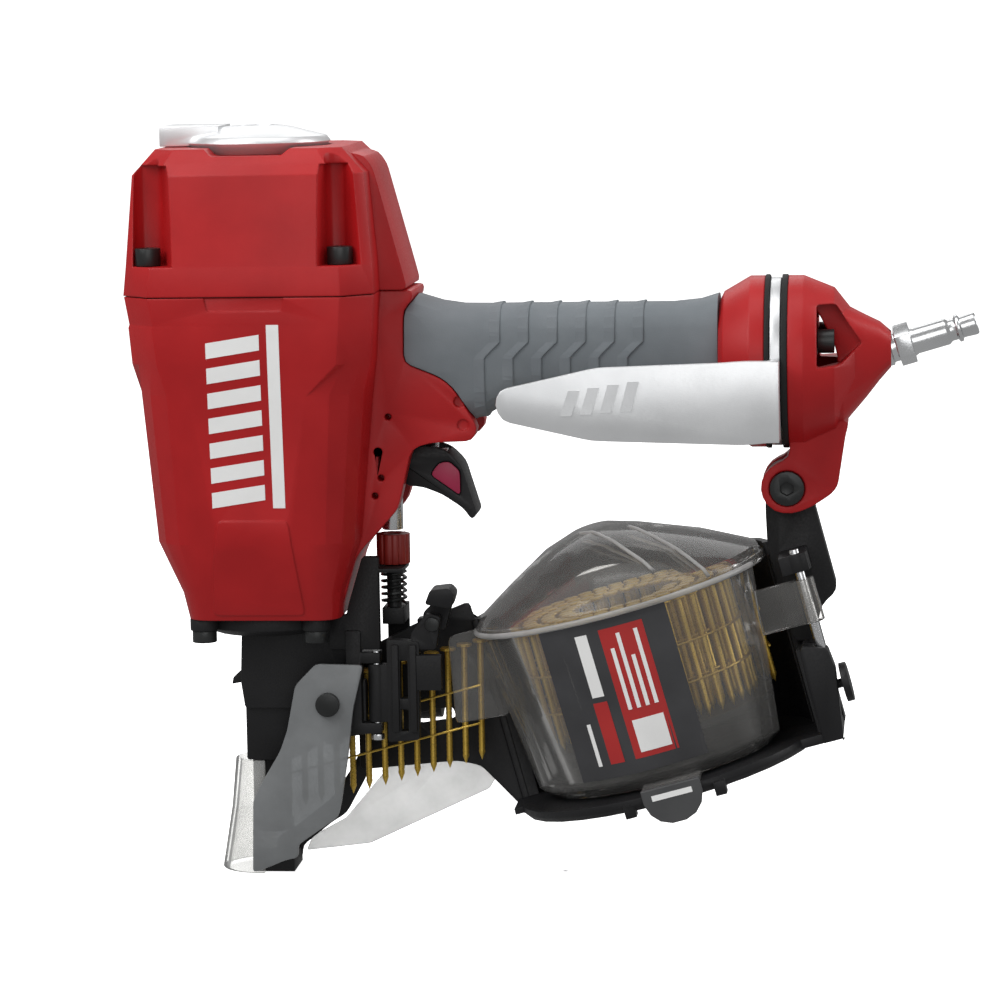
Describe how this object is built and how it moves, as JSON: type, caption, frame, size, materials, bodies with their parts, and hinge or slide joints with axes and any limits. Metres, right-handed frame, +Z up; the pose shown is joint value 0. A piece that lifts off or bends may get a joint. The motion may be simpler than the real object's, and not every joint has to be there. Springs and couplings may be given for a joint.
{
  "type": "coil siding nailer",
  "caption": "Pneumatic nailer with a faceted cylinder body, rubber-gripped handle, swivelling belt hook and a tilted coil canister with a swing-open see-through cover.",
  "frame": {"origin": "middle of the bounding box in plan, at the level of the tip of the work contact", "axes": "+Z up along the drive axis towards the exhaust, +X from the drive axis towards the handle end and air plug, +Y to the side away from the feed door"},
  "size_m": [0.3032, 0.1156, 0.2745],
  "materials": {
    "red_paint": "satin",
    "black_metal": "satin",
    "black_oxide": "black oxide",
    "black_plastic": "satin",
    "grip_rubber": "matt",
    "seal_rubber": "matt",
    "satin_aluminium": "satin",
    "machined_aluminium": "machined",
    "bright_steel": "bright",
    "smoke_clear": "clear, smoke tint",
    "grey_clear": "clear, grey tint",
    "water_clear": "clear",
    "gold_plate": "yellow plated",
    "red_plastic": "satin",
    "pink_plastic": "satin"
  },
  "bodies": {
    "tool_body": {"main_housing": "red_paint", "cap_gasket": "seal_rubber", "cylinder_cap": "red_paint", "cap_bolt_1": "black_oxide", "cap_bolt_2": "black_oxide", "cap_bolt_3": "black_oxide", "cap_bolt_4": "black_oxide", "cylinder_sleeve": "machined_aluminium", "bumper": "seal_rubber", "head_valve_spring": "bright_steel", "deflector_screw": "bright_steel", "handle_grip": "grip_rubber", "hook_seal_front": "seal_rubber", "hook_seal_rear": "seal_rubber", "end_cap": "red_paint", "end_cap_bolt_1": "black_oxide", "end_cap_bolt_2": "black_oxide", "air_plug": "bright_steel", "trigger_pin": "black_oxide", "valve_body": "machined_aluminium", "nose_body": "black_metal", "nose_bolt_1": "black_oxide", "nose_bolt_2": "black_oxide", "nose_bolt_3": "black_oxide", "nose_bolt_4": "black_oxide", "clear_guard": "water_clear", "nose_guard": "grey_clear", "guard_screw": "black_oxide", "feed_cylinder": "black_metal", "feed_plug": "black_metal", "feed_spring": "bright_steel", "contact_spring": "black_oxide", "door_pin": "bright_steel", "magazine_base": "black_plastic", "magazine_bracket": "black_metal", "cover_hinge_pin": "bright_steel", "nail_shield": "water_clear", "bracket_bolt": "black_oxide"},
    "exhaust": {"exhaust_deflector": "satin_aluminium"},
    "piston_set": {"piston": "machined_aluminium", "driver_blade": "bright_steel"},
    "head_valve_body": {"head_valve": "black_plastic"},
    "trigger_body": {"trigger": "black_plastic", "trigger_insert": "pink_plastic", "trigger_lever": "bright_steel"},
    "valve_stem_body": {"valve_stem": "bright_steel"},
    "contact": {"contact_arm": "black_metal"},
    "depth_wheel_body": {"depth_wheel": "red_plastic"},
    "rod": {"contact_rod": "bright_steel"},
    "feeder": {"feed_piston": "bright_steel"},
    "pawl": {"feed_pawl": "bright_steel"},
    "strip": {"nail_strip": "gold_plate"},
    "platform": {"nail_platform": "black_plastic"},
    "coil": {"nail_coil": "gold_plate"},
    "door": {"feed_door": "black_metal", "latch_pin": "black_oxide"},
    "latch": {"door_latch": "black_plastic"},
    "cover": {"magazine_cover": "smoke_clear"},
    "hook": {"rafter_hook": "satin_aluminium"},
    "knob": {"tray_knob": "black_plastic"}
  },
  "joints": [
    {"name": "exhaust_swivel", "type": "hinge", "parent": "tool_body", "child": "exhaust", "pos_m": [-0.1079, 0.0009, 0.268], "axis": [0, 0, 1], "continuous": true},
    {"name": "piston_stroke", "type": "slide", "parent": "tool_body", "child": "piston_set", "axis": [0, 0, 1], "range_m": [-0.076, 0]},
    {"name": "head_valve_lift", "type": "slide", "parent": "tool_body", "child": "head_valve_body", "axis": [0, 0, 1], "range_m": [0, 0.005], "stiffness_N_per_m": 1500, "springref_m": -0.002, "deforming": ["head_valve_spring"]},
    {"name": "trigger_pull", "type": "hinge", "parent": "tool_body", "child": "trigger_body", "pos_m": [-0.0639, 0.0009, 0.1569], "axis": [0, -1, 0], "range_deg": [0, 8], "stiffness_Nm_per_rad": 0.3, "springref_deg": -5.73},
    {"name": "valve_stem_lift", "type": "slide", "parent": "tool_body", "child": "valve_stem_body", "axis": [0, 0, 1], "range_m": [0, 0.0025]},
    {"name": "contact_press", "type": "slide", "parent": "tool_body", "child": "contact", "axis": [0, 0, 1], "range_m": [0, 0.008], "stiffness_N_per_m": 900, "springref_m": -0.004, "deforming": ["contact_spring"]},
    {"name": "depth_turn", "type": "hinge", "parent": "contact", "child": "depth_wheel_body", "pos_m": [-0.0614, 0.0009, 0.1195], "axis": [0, 0, 1], "range_deg": [-360, 360]},
    {"name": "rod_extend", "type": "slide", "parent": "contact", "child": "rod", "axis": [0, 0, 1], "range_m": [-0.00125, 0.00125]},
    {"name": "feed_stroke", "type": "slide", "parent": "tool_body", "child": "feeder", "axis": [-1, 0, 0], "range_m": [0, 0.006], "stiffness_N_per_m": 500, "springref_m": -0.003},
    {"name": "pawl_swing", "type": "hinge", "parent": "feeder", "child": "pawl", "pos_m": [-0.0859, 0.0104, 0.049], "axis": [0, 0, -1], "range_deg": [0, 20], "stiffness_Nm_per_rad": 0.01, "springref_deg": -11.46},
    {"name": "strip_feed", "type": "slide", "parent": "tool_body", "child": "strip", "axis": [-0.9659, 0, -0.2588], "range_m": [0, 0.006]},
    {"name": "platform_height", "type": "slide", "parent": "tool_body", "child": "platform", "axis": [-0.2588, 0, 0.9659], "range_m": [-0.005, 0]},
    {"name": "coil_turn", "type": "hinge", "parent": "platform", "child": "coil", "pos_m": [0.03242, 0.0009, 0.06282], "axis": [-0.2588, 0, 0.9659], "range_deg": [0, 8]},
    {"name": "feed_door_swing", "type": "hinge", "parent": "tool_body", "child": "door", "pos_m": [-0.0669, -0.0106, 0.068], "axis": [0, 0, -1], "range_deg": [0, 80]},
    {"name": "door_latch_tilt", "type": "hinge", "parent": "door", "child": "latch", "pos_m": [-0.0459, -0.0071, 0.0935], "axis": [0, -1, 0], "range_deg": [0, 20], "stiffness_Nm_per_rad": 0.05, "springref_deg": -11.46},
    {"name": "cover_swing", "type": "hinge", "parent": "tool_body", "child": "cover", "pos_m": [0.08996, -0.0191, 0.10308], "axis": [-0.2588, 0, 0.9659], "range_deg": [0, 100]},
    {"name": "hook_swivel", "type": "hinge", "parent": "tool_body", "child": "hook", "pos_m": [0.0792, 0.0009, 0.187], "axis": [-1, 0, 0], "range_deg": [0, 180]},
    {"name": "knob_turn", "type": "hinge", "parent": "tool_body", "child": "knob", "pos_m": [0.10307, -0.0191, 0.07347], "axis": [0.9659, 0, 0.2588], "range_deg": [0, 90]}
  ],
  "couplings": [
    {"joint": "valve_stem_lift", "follows": "trigger_pull", "m_per_rad": 0.0179},
    {"joint": "depth_turn", "follows": "rod_extend", "rad_per_m": 5026.5},
    {"joint": "strip_feed", "follows": "feed_stroke", "ratio": 1},
    {"joint": "coil_turn", "follows": "feed_stroke", "rad_per_m": 22.2}
  ]
}
